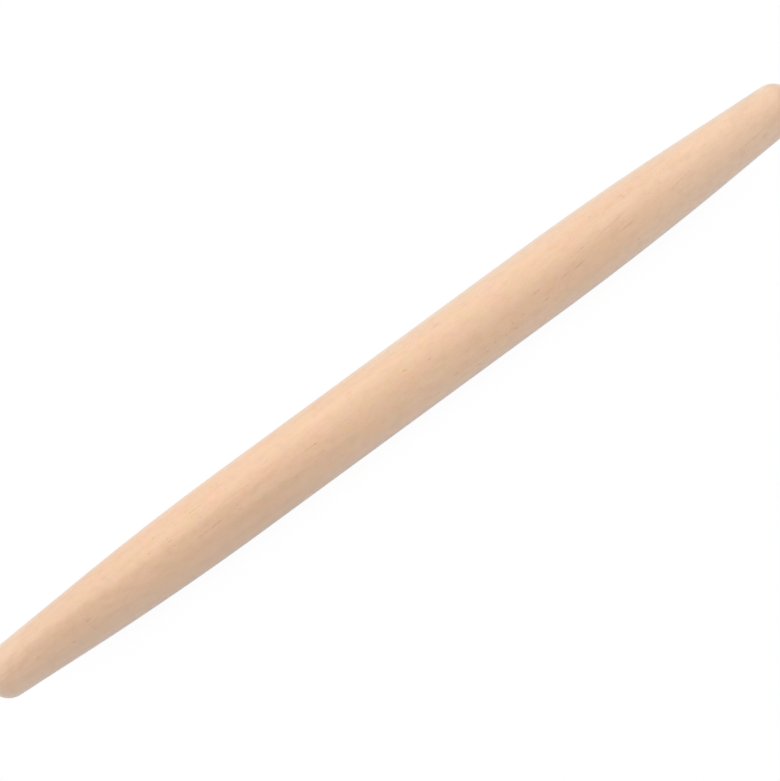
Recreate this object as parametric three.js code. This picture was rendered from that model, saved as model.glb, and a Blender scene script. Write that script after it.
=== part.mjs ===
// A one-piece tapered rolling pin for pizza and pastry dough, turned from a single blank of beech.
// It has no axle, bearings or separate handles: the whole pin rolls, and the hands ride on its tapered ends.
// Sizes are in millimetres and +Z is up. The pin lies along X on its barrel, with the origin on the worktop
// under the middle of the barrel.

import * as THREE from "three";

// Driving dimensions.
const LENGTH = 400; // over both ends
const BARREL_DIAMETER = 30; // the straight middle that flattens the dough
const END_DIAMETER = 20; // what the taper comes down to at the end, before the end is rounded over
const TAPER_LENGTH = 90; // from the end back to the corner where the taper would meet the barrel
const BLEND_REACH = 35; // how far the soft blend runs to each side of that corner
const END_ROUND = 8.5; // radius of the round-over between the taper and the small flat on the end

// Fineness of the facets.
const SIDES = 64; // flats around the pin, an even number, so that it lies on one of them
const CURVE_STEPS = 6; // pieces of a blend, and half the pieces of a round-over

const HALF_LENGTH = LENGTH / 2;
const BARREL_RADIUS = BARREL_DIAMETER / 2;
const END_RADIUS = END_DIAMETER / 2;
const CORNER_STATION = HALF_LENGTH - TAPER_LENGTH; // from the middle of the pin to the taper's corner
const TAPER_ANGLE = Math.atan2(BARREL_RADIUS - END_RADIUS, TAPER_LENGTH); // to the pin's axis
const FULL_DOME = (END_RADIUS * Math.cos(TAPER_ANGLE)) / (1 - Math.sin(TAPER_ANGLE)); // leaves no flat

// Pale steamed beech, sanded and left unvarnished.
const beech = new THREE.MeshStandardMaterial({ color: 0xe0bb9c, roughness: 0.55, metalness: 0 });

// The cone of the taper: its radius at a station along the pin's axis, counted from the middle.
function taperRadius(station) {
  return END_RADIUS + (HALF_LENGTH - station) * Math.tan(TAPER_ANGLE);
}

// Half of the turned outline as (radius, station) points: from where the straight barrel stops, through the
// blend, the taper and the round-over, to the centre of the end.
function halfOutline() {
  const blendEnd = CORNER_STATION + BLEND_REACH * Math.cos(TAPER_ANGLE);
  const round = Math.min(END_ROUND, FULL_DOME);
  const roundStation = HALF_LENGTH - round; // the round-over is tangent to the flat on the end
  const roundCentre = taperRadius(roundStation) - round / Math.cos(TAPER_ANGLE); // and to the taper
  const outline = new THREE.Path();
  outline.moveTo(BARREL_RADIUS, CORNER_STATION - BLEND_REACH);
  outline.quadraticCurveTo(BARREL_RADIUS, CORNER_STATION, taperRadius(blendEnd), blendEnd);
  outline.absarc(roundCentre, roundStation, round, TAPER_ANGLE, Math.PI / 2, false);
  outline.lineTo(0, HALF_LENGTH);
  return outline.getPoints(CURVE_STEPS);
}

// The pin turned about its axis: the outline and its mirror image, revolved with a flat facing down.
function turnedPin() {
  const towardsRight = halfOutline();
  const towardsLeft = towardsRight.map((point) => new THREE.Vector2(point.x, -point.y)).reverse();
  const pin = new THREE.Mesh(
    new THREE.LatheGeometry([...towardsLeft, ...towardsRight], SIDES, Math.PI / SIDES),
    beech,
  );
  pin.name = "rolling_pin";
  pin.rotation.z = -Math.PI / 2; // the outline turns about Y, and the pin lies along X
  pin.position.z = BARREL_RADIUS * Math.cos(Math.PI / SIDES); // the lowest flat rests on the worktop
  return pin;
}

const rollingPin = new THREE.Group();
rollingPin.add(turnedPin());

export default rollingPin;
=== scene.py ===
"""A one-piece tapered rolling pin of pale beech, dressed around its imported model. Sizes are in metres."""

import math

import bpy
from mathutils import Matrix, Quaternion, Vector


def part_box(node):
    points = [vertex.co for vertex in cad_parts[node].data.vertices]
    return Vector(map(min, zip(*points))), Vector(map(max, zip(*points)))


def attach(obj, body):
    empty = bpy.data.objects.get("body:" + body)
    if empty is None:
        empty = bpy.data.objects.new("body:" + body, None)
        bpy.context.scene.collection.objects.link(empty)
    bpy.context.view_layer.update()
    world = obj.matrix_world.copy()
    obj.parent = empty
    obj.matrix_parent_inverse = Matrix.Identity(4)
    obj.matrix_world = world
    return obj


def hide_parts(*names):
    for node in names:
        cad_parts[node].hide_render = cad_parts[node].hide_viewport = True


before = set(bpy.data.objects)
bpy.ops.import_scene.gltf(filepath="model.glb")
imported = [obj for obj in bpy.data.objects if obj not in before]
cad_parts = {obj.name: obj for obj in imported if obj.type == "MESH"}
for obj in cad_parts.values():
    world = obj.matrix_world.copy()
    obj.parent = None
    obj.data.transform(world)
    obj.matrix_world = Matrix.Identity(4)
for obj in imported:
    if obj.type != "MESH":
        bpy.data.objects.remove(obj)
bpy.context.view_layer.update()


# Rolling pin
# The pin is one blank of steamed beech, turned between centres and fine sanded, with nothing fixed to it.
# A straight barrel eases through a long soft blend into each taper, and the tips are rounded over.

low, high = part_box("rolling_pin")
HALF_LENGTH = high.x
BARREL_RADIUS = (high.z - low.z) / 2
AXIS_HEIGHT = (high.z + low.z) / 2
END_RADIUS = 0.010  # what the taper comes down to at the end, before the end is rounded over
TAPER_LENGTH = 0.090  # from the end back to the corner where the taper would meet the barrel
BLEND_REACH = 0.035  # how far the soft blend runs to each side of that corner
END_ROUND = 0.0085  # radius of the round-over between the taper and the small flat on the end
TAPER_SLOPE = (BARREL_RADIUS - END_RADIUS) / TAPER_LENGTH
BLEND_START = HALF_LENGTH - TAPER_LENGTH - BLEND_REACH

RING_STEP = 0.001  # between the rings of points along the pin
ROUND_STEPS = 16  # rings over a rounded tip
SIDES = 160  # points in a ring


def turned_radius(station):
    """Radius of the barrel, the blend or the taper at a distance from the middle of the pin."""
    past = station - BLEND_START
    if past <= 0:
        return BARREL_RADIUS
    if past < 2 * BLEND_REACH:
        return BARREL_RADIUS - TAPER_SLOPE * past**2 / (4 * BLEND_REACH)
    return BARREL_RADIUS - TAPER_SLOPE * (past - BLEND_REACH)


def half_outline():
    """The turned outline as (station, radius), from the middle of the pin to the centre of its end."""
    lean = math.atan(TAPER_SLOPE)
    round_station = HALF_LENGTH - END_ROUND
    round_centre = turned_radius(round_station) - END_ROUND / math.cos(lean)
    round_start = round_station + END_ROUND * math.sin(lean)
    steps = round(round_start / RING_STEP)
    points = [(round_start * i / steps, turned_radius(round_start * i / steps)) for i in range(steps)]
    for i in range(ROUND_STEPS + 1):
        angle = lean + (math.pi / 2 - lean) * i / ROUND_STEPS
        station = round_station + END_ROUND * math.sin(angle)
        points.append((station, round_centre + END_ROUND * math.cos(angle)))
    return points + [(HALF_LENGTH, 0.0)]


SKIN_BANDS = 4  # lengths that the skin is cut into, to lie on a square map
MAP_COLUMNS = 2
MAP_MARGIN = 0.004


def place_on_map(band, share_along, share_around):
    """Where a point of one band lies on the square map of the whole skin."""
    column, row = band % MAP_COLUMNS, band // MAP_COLUMNS
    inside = 1 / MAP_COLUMNS - 2 * MAP_MARGIN
    return (
        column / MAP_COLUMNS + MAP_MARGIN + inside * share_along,
        row / MAP_COLUMNS + MAP_MARGIN + inside * share_around,
    )


def turn(name, outline):
    """A closed skin turned about the pin's axis, with a single corner on the axis at each end."""
    last = len(outline) - 1
    run = [0.0]
    for (x0, r0), (x1, r1) in zip(outline, outline[1:]):
        run.append(run[-1] + math.hypot(x1 - x0, r1 - r0))

    corners = [(outline[0][0], 0.0, AXIS_HEIGHT)]
    for station, radius in outline[1:last]:
        for side in range(SIDES):
            angle = 2 * math.pi * side / SIDES
            corners.append((station, -radius * math.sin(angle), AXIS_HEIGHT + radius * math.cos(angle)))
    corners.append((outline[last][0], 0.0, AXIS_HEIGHT))

    def corner(ring, side):
        if ring == 0:
            return 0
        return 1 + (ring - 1) * SIDES + (side % SIDES if ring < last else 0)

    faces, places = [], []
    for ring in range(last):
        band = min(int(SKIN_BANDS * (run[ring] + run[ring + 1]) / 2 / run[last]), SKIN_BANDS - 1)
        for side in range(SIDES):
            face = {}
            for r, s in [(ring, side), (ring, side + 1), (ring + 1, side + 1), (ring + 1, side)]:
                face[corner(r, s)] = place_on_map(band, SKIN_BANDS * run[r] / run[last] - band, s / SIDES)
            faces.append(list(face))
            places += face.values()

    mesh = bpy.data.meshes.new(name)
    mesh.from_pydata(corners, [], faces)
    skin_map = mesh.uv_layers.new(name="OFBake")
    skin_map.data.foreach_set("uv", [number for place in places for number in place])
    mesh.polygons.foreach_set("use_smooth", [True] * len(faces))
    return mesh


right_half = half_outline()
left_half = [(-station, radius) for station, radius in reversed(right_half[1:])]
pin = bpy.data.objects.new("turned_pin", turn("turned_pin", left_half + right_half))
bpy.context.scene.collection.objects.link(pin)


class Wire:
    """A socket of a shader node. Sums of wires and numbers add the Math nodes that work them out."""

    def __init__(self, finish, socket):
        self.finish = finish
        self.socket = socket

    def maths(self, operation, *values):
        sockets = dict(zip(("Value", "Value_001"), values))
        return self.finish.node("ShaderNodeMath", {"operation": operation}, sockets)["Value"]

    def __add__(self, other):
        return self.maths("ADD", self, other)

    def __radd__(self, other):
        return self.maths("ADD", other, self)

    def __sub__(self, other):
        return self.maths("SUBTRACT", self, other)

    def __rsub__(self, other):
        return self.maths("SUBTRACT", other, self)

    def __mul__(self, other):
        return self.maths("MULTIPLY", self, other)

    def __rmul__(self, other):
        return self.maths("MULTIPLY", other, self)

    def __truediv__(self, other):
        return self.maths("DIVIDE", self, other)

    def __rtruediv__(self, other):
        return self.maths("DIVIDE", other, self)

    def __pow__(self, other):
        return self.maths("POWER", self, other)

    def __rpow__(self, other):
        return self.maths("POWER", other, self)

    def __mod__(self, other):
        return self.maths("FLOORED_MODULO", self, other)

    def __rmod__(self, other):
        return self.maths("FLOORED_MODULO", other, self)

    def __abs__(self):
        return self.maths("ABSOLUTE", self)

    def at_least(self, other):
        return self.maths("MAXIMUM", self, other)


class Finish:
    """The nodes of a material or of the world, and the one way to add a node to them."""

    def __init__(self, owner):
        owner.use_nodes = True
        self.tree = owner.node_tree
        self.tree.nodes.clear()

    def node(self, kind, settings, sockets):
        made = self.tree.nodes.new(kind)
        for name, value in settings.items():
            setattr(made, name, value)
        inputs = {socket.identifier: socket for socket in made.inputs}
        for name, value in sockets.items():
            if isinstance(value, Wire):
                self.tree.links.new(value.socket, inputs[name])
            else:
                inputs[name].default_value = value
        return {socket.identifier: Wire(self, socket) for socket in made.outputs}

    def split(self, vector):
        """The X, Y and Z of a vector, each as a wire."""
        return self.node("ShaderNodeSeparateXYZ", {}, {"Vector": vector})

    def join(self, x, y, z):
        """A vector of three wires."""
        return self.node("ShaderNodeCombineXYZ", {}, {"X": x, "Y": y, "Z": z})["Vector"]

    def vectors(self, operation, first, second):
        """Two vectors taken together, part by part."""
        sockets = {"Vector": first, "Vector_001": second}
        return self.node("ShaderNodeVectorMath", {"operation": operation}, sockets)["Vector"]

    def fade(self, value, start, stop):
        """0 up to start and 1 from stop on, with a soft run between them."""
        sockets = {"Value": value, "From Min": start, "From Max": stop}
        return self.node("ShaderNodeMapRange", {"interpolation_type": "SMOOTHSTEP"}, sockets)["Result"]

    def tint(self, under, over, amount):
        """One colour laid over another by an amount."""
        sockets = {"Factor_Float": amount, "A_Color": under, "B_Color": over}
        return self.node("ShaderNodeMix", {"data_type": "RGBA"}, sockets)["Result_Color"]

    def clouds(self, place, cell, detail):
        """Noise from 0 to 1 whose patches are about as long, wide and deep as the cell."""
        sockets = {"Vector": self.vectors("DIVIDE", place, cell), "Scale": 1.0, "Detail": detail}
        return self.node("ShaderNodeTexNoise", {}, sockets)["Fac"]

    def swings(self, place, cell, detail):
        """The same noise, from -0.5 to 0.5."""
        return self.clouds(place, cell, detail) - 0.5


SHOWN_SIDE = math.radians(40)  # the side with the figure described here faces forwards and this far upwards
BOW_START = 0.03  # station past which the fibres bow up
GRAIN_BOW = 0.35  # how far they bow, for each square of the distance past it
WAVE_CELL = (0.025, 0.008, 0.012)  # of the slow waves in the fibres
WAVE_HEIGHT = 0.0020


def lie_of_grain(wood, spot):
    """How far a spot lies along the fibres, up across them and out to the shown side, and as a vector."""
    xyz = wood.split(spot)
    along = xyz["X"]
    height = xyz["Z"] - AXIS_HEIGHT
    bowed = (along - BOW_START).at_least(0.0) ** 2.0 * GRAIN_BOW
    up = xyz["Y"] * math.sin(SHOWN_SIDE) + height * math.cos(SHOWN_SIDE) - bowed
    out = height * math.sin(SHOWN_SIDE) - xyz["Y"] * math.cos(SHOWN_SIDE)
    wavy_up = up + wood.swings(wood.join(along, up, out), WAVE_CELL, detail=2.0) * WAVE_HEIGHT
    return along, wavy_up, out, wood.join(along, wavy_up, out)


PITH_UP, PITH_DEPTH = 0.004, 0.085  # where the middle of the tree lies, up from and behind the pin's axis
RUN_OUT = 0.012  # how far the tree's axis drifts towards the shown side for each unit of length
YEAR_WIDTH = 0.0030
RING_WOBBLE = 0.0018
LATE_WOOD_POWER = 3.0  # the higher, the thinner the line of late wood


def yearly_rings(along, up, out, wobble):
    """0 where a year's growth starts, rising to 1 in the thin line of late wood where it ends."""
    ring_up = up - PITH_UP
    ring_out = out + PITH_DEPTH + along * RUN_OUT
    year = ((ring_up * ring_up + ring_out * ring_out) ** 0.5 + wobble * RING_WOBBLE) / YEAR_WIDTH
    return (year % 1.0) ** LATE_WOOD_POWER


# The figure of this blank, with stations along the pin and heights up across the fibres. A pair in brackets
# is where a soft edge starts and where it is full.

STREAK_EDGE = (1.4, 0.4)  # in half widths


def streak(wood, along, up, station, height, slope, half_width, narrowing):
    """A soft band along the pin, by a point of its middle line, its slope and its half width there."""
    past = along - station
    off = abs(up - height - past * slope) / (half_width - past * narrowing)
    return wood.fade(off, *STREAK_EDGE)


HEART_COMES, HEART_STRENGTH = (-0.01, -0.09), 0.55
HEART_DEEPENS, HEART_EXTRA = (-0.125, -0.150), 0.30
HEART_WEAKENS, HEART_LOSS = (-0.175, -0.195), 0.5
HEART_LEAST, HEART_PATCHES = 0.4, 1.2  # its share everywhere, and what the patches of the mottling add


def heart_streak(wood, along, up, mottle):
    """The patchy brown streak of heart wood in the left half, deepest on the taper and weaker at the tip."""
    band = streak(
        wood, along, up, station=-0.155, height=0.0001, slope=-0.001, half_width=0.0039, narrowing=0.014
    )
    deep = HEART_STRENGTH * wood.fade(along, *HEART_COMES) + HEART_EXTRA * wood.fade(along, *HEART_DEEPENS)
    left = 1.0 - HEART_LOSS * wood.fade(along, *HEART_WEAKENS)
    return band * deep * left * (HEART_LEAST + HEART_PATCHES * mottle)


UNEVEN_LENGTH, UNEVEN_HEIGHT = 0.04, 0.004  # how far the wobble shifts the edges of the large areas
DARK_FLANK_LEFT, DARK_FLANK_LOW = (-0.02, -0.07), (-0.001, -0.006)


def dark_flank(wood, along, up, wobble):
    """The darker lower flank of the left half, below the heart streak."""
    return wood.fade(up, *DARK_FLANK_LOW) * wood.fade(along + wobble * UNEVEN_LENGTH, *DARK_FLANK_LEFT)


HONEY_STATION, HONEY_ENDS = 0.085, (0.070, 0.035)  # its middle, and where it ends to each side
HONEY_TOP, HONEY_BOTTOM = (-0.001, -0.005), (-0.0125, -0.009)


def honey_flank(wood, along, up):
    """The honey-coloured lower flank of the right half."""
    height = wood.fade(up, *HONEY_TOP) * wood.fade(up, *HONEY_BOTTOM)
    return height * wood.fade(abs(along - HONEY_STATION), *HONEY_ENDS)


PALE_RIGHT, PALE_LEFT_TIP = (0.02, 0.18), (-0.160, -0.190)
GREY_TAPERS = (0.10, 0.19)
PALE_END_RIGHT, PALE_END_LOW = (0.090, 0.125), (0.007, 0.002)


def pale_end(wood, along, up, wobble):
    """The pale right end, all but its upper flank."""
    right = wood.fade(along + wobble * UNEVEN_LENGTH, *PALE_END_RIGHT)
    return right * wood.fade(up + wobble * UNEVEN_HEIGHT, *PALE_END_LOW)


PALE_LINE_STATION, PALE_LINE_ENDS = 0.085, (0.060, 0.010)
SMUDGE_STATION, SMUDGE_ENDS = 0.183, (0.014, 0.002)


def pale_line(wood, along, up):
    """A thin pale line that leads to the right end."""
    band = streak(
        wood, along, up, PALE_LINE_STATION, height=0.0024, slope=0.0, half_width=0.0014, narrowing=0.0
    )
    return band * wood.fade(abs(along - PALE_LINE_STATION), *PALE_LINE_ENDS)


def smudge(wood, along, up):
    """A faint brown smudge near the right tip."""
    band = streak(
        wood, along, up, SMUDGE_STATION, height=0.0020, slope=0.3, half_width=0.0030, narrowing=0.0
    )
    return band * wood.fade(abs(along - SMUDGE_STATION), *SMUDGE_ENDS)


# Spans and shares of the painted reflection on the rims, and of the paler touch at the left tip.
REFLECTION_TOP, REFLECTION_LOW = (0.62, 0.95), (-0.55, -0.85)  # how far the skin leans up or down there
REFLECTION_RIGHT, REFLECTION_TIPS = (-0.03, 0.01), (0.160, 0.195)
REFLECTION_LEFT, DRY_LEFT_TIP = (-0.10, -0.14), (-0.165, -0.195)
REFLECTION_TIPS_SHARE = 0.7  # of what the upper rim of the right half has
REFLECTION_TOP_SHARE, REFLECTION_LOW_SHARE, DRY_LEFT_SHARE = 0.34, 0.08, 0.09


def painted_rim_reflection_and_pale_tip(wood, along, leaning):
    """Painted reflection: a paler upper rim on the right half and on the tips, and a paler lower rim towards
    the left end, where the white room reflects at a grazing angle. Also a paler touch of the wood itself at
    the left end.
    """
    stretch = wood.fade(along, *REFLECTION_RIGHT) + wood.fade(abs(along), *REFLECTION_TIPS) * REFLECTION_TIPS_SHARE
    top = wood.fade(leaning, *REFLECTION_TOP) * stretch
    low = wood.fade(leaning, *REFLECTION_LOW) * wood.fade(along, *REFLECTION_LEFT)
    left_tip = wood.fade(along, *DRY_LEFT_TIP)
    return top * REFLECTION_TOP_SHARE + low * REFLECTION_LOW_SHARE + left_tip * DRY_LEFT_SHARE


RAY_HALF_WIDTH = 0.00027
RAY_EDGE, RAY_ROUGHNESS = (1.2, 0.0), 2.0  # on a scale from 0 in the middle of a ray to 1 at its outline


def ray(wood, past, off, half_length, rough):
    """A thin lens-shaped ray with rough edges, by how far a spot lies along it and off it."""
    from_middle = (past / half_length) ** 2.0 + (off / RAY_HALF_WIDTH) ** 2.0
    return wood.fade(from_middle + rough * RAY_ROUGHNESS, *RAY_EDGE)


# The rays that stand out on the shown side: station, height, slope to the fibres, half length and strength.
MAIN_RAYS = [
    (-0.0900, 0.0081, 0.00, 0.0060, 0.38),
    (-0.0890, -0.0019, 0.03, 0.0080, 0.46),
    (-0.0708, 0.0036, 0.00, 0.0100, 0.24),
    (-0.0384, 0.0008, 0.00, 0.0036, 0.52),
    (0.0086, 0.0033, 0.00, 0.0015, 0.52),
    (0.0296, 0.0104, 0.00, 0.0038, 0.36),
    (0.0697, -0.0031, 0.00, 0.0017, 0.55),
    (0.0710, -0.0078, 0.04, 0.0017, 0.55),
    (0.0824, -0.0050, 0.04, 0.0038, 0.52),
    (0.0898, -0.0054, 0.03, 0.0038, 0.48),
    (0.0930, -0.0005, 0.00, 0.0080, 0.36),
    (0.1096, -0.0004, 0.09, 0.0090, 0.28),
    (0.1135, -0.0051, 0.00, 0.0048, 0.38),
    (0.1186, 0.0059, 0.03, 0.0022, 0.46),
    (0.1415, -0.0052, 0.09, 0.0065, 0.38),
    (0.1740, -0.0115, -0.03, 0.0080, 0.32),
]


def main_rays(wood, along, up, rough):
    """The rays that stand out, each on its own line along the fibres."""
    marks = 0.0
    for station, height, slope, half_length, strength in MAIN_RAYS:
        past = along - station
        marks = marks + ray(wood, past, up - height - past * slope, half_length, rough) * strength
    return marks


RAY_LEAN = 0.4  # spread of the slopes of the other rays to the fibres
STRAIGHT_RAY = 0.4  # the chance value of a ray that lies along the fibres
SHORTEST_RAY = 0.25  # share of the half length


def chance_rays(wood, grain, rough, cell, half_length, share):
    """Rays by chance in a share of the cells, each with its own length, lean and strength."""
    place = wood.vectors("DIVIDE", grain, cell)
    rays = wood.node("ShaderNodeTexVoronoi", {}, {"Vector": place, "Scale": 1.0})
    off = wood.split(wood.vectors("MULTIPLY", wood.vectors("SUBTRACT", place, rays["Position"]), cell))
    chance = wood.split(rays["Color"])
    across = off["Y"] - off["X"] * ((chance["Z"] - STRAIGHT_RAY) * RAY_LEAN)
    half = (SHORTEST_RAY + (1 - SHORTEST_RAY) * chance["Y"]) * half_length
    return ray(wood, off["X"], across, half, rough) * wood.fade(chance["X"], 1.0 - share, 1.0)


BREAK_CELL, BREAK_SPAN = (0.0015, 0.0030, 0.0060), (0.42, 0.58)  # of the gaps in the longer rays
CLUSTER_CELL, CLUSTER_SPAN = (0.030, 0.010, 0.012), (0.46, 0.62)
CLUSTER_LEAST = 0.15  # share of the rays between the clusters
RIM_LEAN, RIM_LOSS = (0.70, 0.97), 0.8  # few rays show at the upper and lower rim, where they lie flat
SHOWN_OUT = (0.0, 0.004)  # from the pin's axis towards the shown side, where the main rays are
SHORT_RAYS, LONG_RAYS = 0.48, 0.70  # strengths
LONG_RAYS_LOSS = 0.50  # of the long rays by chance on the shown side, where the main rays are in their place
UNBROKEN = 0.4  # share of a main ray that is left in its gaps


def ray_flecks(wood, along, up, out, grain, leaning, rough):
    """Short single rays and long broken ones, in clusters, and the main rays on the shown side."""
    short = chance_rays(wood, grain, rough, cell=(0.0050, 0.0019, 0.012), half_length=0.0014, share=0.35)
    long = chance_rays(wood, grain, rough, cell=(0.0180, 0.0030, 0.020), half_length=0.0065, share=0.55)
    broken = wood.fade(wood.clouds(grain, BREAK_CELL, detail=1.0), *BREAK_SPAN)
    clusters = wood.fade(wood.clouds(grain, CLUSTER_CELL, detail=2.0), *CLUSTER_SPAN)
    clustered = CLUSTER_LEAST + (1 - CLUSTER_LEAST) * clusters
    cut_across = 1.0 - RIM_LOSS * wood.fade(abs(leaning), *RIM_LEAN)
    shown = wood.fade(out, *SHOWN_OUT)
    by_chance = short * SHORT_RAYS + long * broken * (LONG_RAYS - LONG_RAYS_LOSS * shown)
    main = main_rays(wood, along, up, rough) * shown * (UNBROKEN + (1 - UNBROKEN) * broken)
    return by_chance * clustered * cut_across + main


PALE_BEECH = (0.850, 0.575, 0.385, 1)
PINK_BEECH = (0.808, 0.486, 0.308, 1)
YELLOW_BEECH = (0.757, 0.516, 0.294, 1)
ROSE_BEECH = (0.780, 0.502, 0.395, 1)
GREY_BEECH = (0.750, 0.525, 0.380, 1)
# Painted reflection on the rims, and also the paler wood at the left tip.
REFLECTION_AND_PALE_BEECH = (0.800, 0.660, 0.500, 1)
HONEY_BEECH = (0.780, 0.460, 0.270, 1)
BROWN_BEECH = (0.610, 0.360, 0.220, 1)
RAY_BROWN = (0.460, 0.215, 0.100, 1)

WOBBLE_CELL = (0.060, 0.010, 0.020)  # along the fibres, up and out, as in the cells that follow
BAND_CELL = (0.080, 0.0055, 0.012)
TONE_CELL = (0.0085, 0.0050, 0.0060)
BLUSH_CELL = (0.0052, 0.0040, 0.0048)
MOTTLE_CELL = (0.0046, 0.0026, 0.0030)
FIBRE_CELL = (0.0090, 0.0006, 0.0008)
CRUMB_CELL = (0.0012, 0.0004, 0.0006)

END_FACING = (0.6, 1.0)  # how far the skin faces along the pin where it shows end grain
MOTTLE_HEIGHT, FIBRE_HEIGHT, FLECK_DEPTH = 0.5, 0.3, 3.0  # shares of the depth of the relief
RELIEF_DEPTH, RELIEF_STRENGTH = 0.0001, 0.45
LEAST_ROUGHNESS, FIBRE_ROUGHNESS = 0.44, 0.12
SHEEN, SHEEN_ROUGHNESS = 0.60, 0.5  # of the fine fuzz that sanding leaves


def beech():
    """Steamed beech: soft yearly rings, mottled colour, fibres along the pin and short brown ray flecks."""
    material = bpy.data.materials.new("beech")
    wood = Finish(material)
    spot = wood.node("ShaderNodeTexCoord", {}, {})
    facing = wood.split(spot["Normal"])
    leaning = facing["Y"] * math.sin(SHOWN_SIDE) + facing["Z"] * math.cos(SHOWN_SIDE)
    along, up, out, grain = lie_of_grain(wood, spot["Object"])

    wobble = wood.swings(grain, WOBBLE_CELL, detail=3.0)
    bands = wood.clouds(grain, BAND_CELL, detail=3.0)
    tone = wood.clouds(grain, TONE_CELL, detail=2.0)
    blush = wood.clouds(grain, BLUSH_CELL, detail=2.0)
    mottle = wood.clouds(grain, MOTTLE_CELL, detail=2.0)
    fibres = wood.clouds(grain, FIBRE_CELL, detail=2.0)
    crumbs = wood.swings(grain, CRUMB_CELL, detail=1.0)
    late_wood = yearly_rings(along, up, out, wobble)
    flecks = ray_flecks(wood, along, up, out, grain, leaning, crumbs)
    end_grain = wood.fade(abs(facing["X"]), *END_FACING)

    # The colours in the order that they are laid on, each with the share that it covers. Patches come in
    # between two levels of their noise.
    pale_right = wood.fade(along, *PALE_RIGHT) * 0.12
    pale_right = pale_right + pale_end(wood, along, up, wobble) * 0.40 + pale_line(wood, along, up) * 0.22
    darker = late_wood * 0.10 + dark_flank(wood, along, up, wobble) * 0.30 + smudge(wood, along, up) * 0.18
    colour = YELLOW_BEECH
    for over, share in [
        (PINK_BEECH, wood.fade(tone, 0.25, 0.75)),
        (ROSE_BEECH, wood.fade(blush, 0.35, 0.70) * 0.38),
        (PALE_BEECH, wood.fade(bands, 0.35, 0.75) * 0.40),
        (GREY_BEECH, wood.fade(abs(along), *GREY_TAPERS) * 0.45),
        (PALE_BEECH, wood.fade(along, *PALE_LEFT_TIP) * 0.30),
        (PALE_BEECH, pale_right),
        # Painted reflection: paler rims where the white room reflects at a grazing angle, plus the paler
        # left tip.
        (REFLECTION_AND_PALE_BEECH, painted_rim_reflection_and_pale_tip(wood, along, leaning)),
        (HONEY_BEECH, honey_flank(wood, along, up) * 0.30),
        (BROWN_BEECH, darker),
        (BROWN_BEECH, heart_streak(wood, along, up, mottle) * 0.50),
        (BROWN_BEECH, wood.fade(mottle, 0.40, 0.80) * 0.24),
        (BROWN_BEECH, wood.fade(fibres, 0.45, 0.85) * 0.16),
        (BROWN_BEECH, wood.fade(crumbs, -0.05, 0.25) * 0.15),
        (RAY_BROWN, flecks),
        (BROWN_BEECH, end_grain * (0.20 + late_wood * 0.35)),
    ]:
        colour = wood.tint(colour, over, share)

    relief = mottle * MOTTLE_HEIGHT + fibres * FIBRE_HEIGHT - flecks * FLECK_DEPTH
    sockets = {"Strength": RELIEF_STRENGTH, "Distance": RELIEF_DEPTH, "Height": relief}
    bump = wood.node("ShaderNodeBump", {}, sockets)["Normal"]
    roughness = LEAST_ROUGHNESS + fibres * FIBRE_ROUGHNESS
    sockets = {"Base Color": colour, "Roughness": roughness, "Normal": bump}
    sockets |= {"Sheen Weight": SHEEN, "Sheen Roughness": SHEEN_ROUGHNESS}
    shader = wood.node("ShaderNodeBsdfPrincipled", {}, sockets)["BSDF"]
    wood.node("ShaderNodeOutputMaterial", {}, {"Surface": shader})
    return material


pin.data.materials.append(beech())
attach(pin, "root")
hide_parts("rolling_pin")


# Worktop
# A plain white worktop runs out of the picture on every side. It is matt, and the pin lies on it.
# To the camera and in reflections it shows as white. Close to the pin it keeps its own shade, deepened there
# by a painted darker brown.

WORKTOP_REACH = 4.0
WORKTOP_WHITE = (0.81, 0.89, 0.97, 1)
PAINTED_SHADE_BROWN = (0.58, 0.45, 0.34, 1)  # darker and browner close to the pin: painted shade that deepens the contact shadow, and a painted wood-coloured tint of the light there
SHADE_KEPT = 0.90  # share of its own shade that the camera sees where the pin touches it
SHADE_REACH = 0.0061  # from the pin's axis to the edge of that shade, under the barrel
SHADE_EDGE = 0.0010  # over which it fades out
LIFT_LENGTH = 0.070  # from where the wood starts to lift off the worktop
SHADE_NARROWING = 0.0027  # how much narrower the shade is at that length
LIFT_POWER = 1.8  # of the length, by which it narrows
SHADE_THINS = (0.195, 0.130)  # stations where the shade is gone and where it is still full
FAINT_SHADE = 0.04  # share of its shade that goes on past that edge
FAINT_REACH = 0.030


def seen_or_mirrored(finish):
    """1 for what the camera sees, directly, mirrored or through glass, and 0 for light that spreads."""
    path = finish.node("ShaderNodeLightPath", {}, {})
    return path["Is Camera Ray"] + path["Is Glossy Ray"] + path["Is Transmission Ray"]


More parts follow.
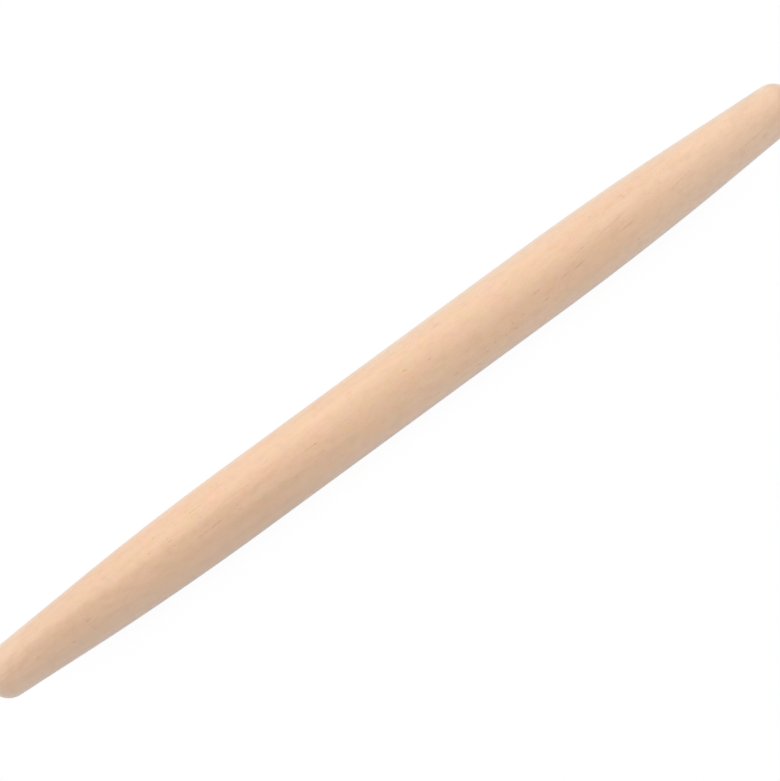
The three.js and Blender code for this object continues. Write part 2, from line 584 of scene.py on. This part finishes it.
def worktop_white():
    """White to the camera and in reflections, but for a share of its own shade close to the pin, where it is
    also painted a darker brown as painted shade.
    """
    material = bpy.data.materials.new("worktop_white")
    white = Finish(material)
    xyz = white.split(white.node("ShaderNodeTexCoord", {}, {})["Object"])
    aside, along = abs(xyz["Y"]), abs(xyz["X"])
    lifted = (along - BLEND_START).at_least(0.0) / LIFT_LENGTH
    reach = SHADE_REACH - lifted**LIFT_POWER * SHADE_NARROWING
    under_pin = white.fade(along, *SHADE_THINS)
    close = white.fade(aside - reach, 0.0, -SHADE_EDGE) * under_pin
    faint = white.fade(aside, FAINT_REACH, 0.0) * under_pin
    shade = close * (SHADE_KEPT - FAINT_SHADE) + faint * FAINT_SHADE

    matt = white.node("ShaderNodeBsdfDiffuse", {}, {"Color": WORKTOP_WHITE})["BSDF"]
    # Painted shade: close to the pin, the worktop is given a darker brown.
    painted_shade = white.node("ShaderNodeBsdfDiffuse", {}, {"Color": PAINTED_SHADE_BROWN})["BSDF"]
    plain = white.node("ShaderNodeEmission", {}, {"Strength": 1.0})["Emission"]
    sockets = {"Fac": close, "Shader": matt, "Shader_001": painted_shade}
    shaded = white.node("ShaderNodeMixShader", {}, sockets)["Shader"]
    sockets = {"Fac": seen_or_mirrored(white) * (1 - shade), "Shader": shaded, "Shader_001": plain}
    mixed = white.node("ShaderNodeMixShader", {}, sockets)["Shader"]
    white.node("ShaderNodeOutputMaterial", {}, {"Surface": mixed})
    return material


worktop_mesh = bpy.data.meshes.new("worktop")
edge = [(-WORKTOP_REACH, -WORKTOP_REACH, low.z), (WORKTOP_REACH, -WORKTOP_REACH, low.z)]
edge += [(WORKTOP_REACH, WORKTOP_REACH, low.z), (-WORKTOP_REACH, WORKTOP_REACH, low.z)]
worktop_mesh.from_pydata(edge, [], [(0, 1, 2, 3)])
worktop_mesh.materials.append(worktop_white())
worktop = bpy.data.objects.new("worktop", worktop_mesh)
bpy.context.scene.collection.objects.link(worktop)


# Light
# One large softbox hangs over the pin and a little behind it.
# A white room gives the rest of the light from all round.

ROOM_WHITE = (1, 1, 1, 1)
ROOM_LIGHT = 0.585  # what the room gives to the pin, while it shows as full white
SOFTBOX_LENGTH, SOFTBOX_WIDTH = 1.2, 2.2  # along and across the pin
SOFTBOX_DISTANCE = 1.3
SOFTBOX_POWER = 14.8
SOFTBOX_ELEVATION = math.radians(96)

pin_middle = Vector((0, 0, AXIS_HEIGHT))


def direction(elevation):
    """From the pin towards a thing in front of it, raised by an angle. Past a right angle it is behind."""
    return Vector((0, -math.cos(elevation), math.sin(elevation)))


room = bpy.data.worlds.new("white_room")
walls = Finish(room)
strength = ROOM_LIGHT + seen_or_mirrored(walls) * (1 - ROOM_LIGHT)
sockets = {"Color": ROOM_WHITE, "Strength": strength}
background = walls.node("ShaderNodeBackground", {}, sockets)["Background"]
walls.node("ShaderNodeOutputWorld", {}, {"Surface": background})
bpy.context.scene.world = room

softbox_lamp = bpy.data.lights.new("softbox", "AREA")
softbox_lamp.shape = "RECTANGLE"
softbox_lamp.size = SOFTBOX_LENGTH
softbox_lamp.size_y = SOFTBOX_WIDTH
softbox_lamp.energy = SOFTBOX_POWER
softbox = bpy.data.objects.new("softbox", softbox_lamp)
softbox.location = pin_middle + direction(SOFTBOX_ELEVATION) * SOFTBOX_DISTANCE
softbox.rotation_euler = direction(SOFTBOX_ELEVATION).to_track_quat("Z", "Y").to_euler()
bpy.context.scene.collection.objects.link(softbox)


# Camera
# The camera looks square on to the pin from above its front, through a long lens, and is tipped sideways.
# The pin then crosses the picture from low on the left to high on the right, and both tips just leave it.

PICTURE_WIDTH, PICTURE_HEIGHT = 780, 781  # pixels
PIN_LENGTH_PX = 996.0  # what the whole pin would measure in the picture
PIN_MIDDLE_PX = (390.4, 390.4)  # from the picture's left and top
PIN_RISE = math.radians(36.27)  # of the pin's axis in the picture
CAMERA_ELEVATION = math.radians(40)
LENS = 0.100
SENSOR = 0.036

size_of_pixel = 2 * HALF_LENGTH / PIN_LENGTH_PX
camera_distance = LENS * PICTURE_HEIGHT * size_of_pixel / SENSOR
towards_camera = direction(CAMERA_ELEVATION)
turned = towards_camera.to_track_quat("Z", "Y") @ Quaternion((0, 0, 1), -PIN_RISE)
aside = ((PICTURE_WIDTH - 1) / 2 - PIN_MIDDLE_PX[0]) * size_of_pixel
above = (PIN_MIDDLE_PX[1] - (PICTURE_HEIGHT - 1) / 2) * size_of_pixel

lens = bpy.data.cameras.new("camera")
lens.lens = LENS * 1000  # the lens and the sensor are set in millimetres
lens.sensor_width = SENSOR * 1000
camera = bpy.data.objects.new("camera", lens)
camera.rotation_mode = "QUATERNION"
camera.rotation_quaternion = turned
camera.location = pin_middle + towards_camera * camera_distance + turned @ Vector((aside, above, 0))
bpy.context.scene.collection.objects.link(camera)
bpy.context.scene.camera = camera
bpy.context.scene.view_settings.view_transform = "Standard"
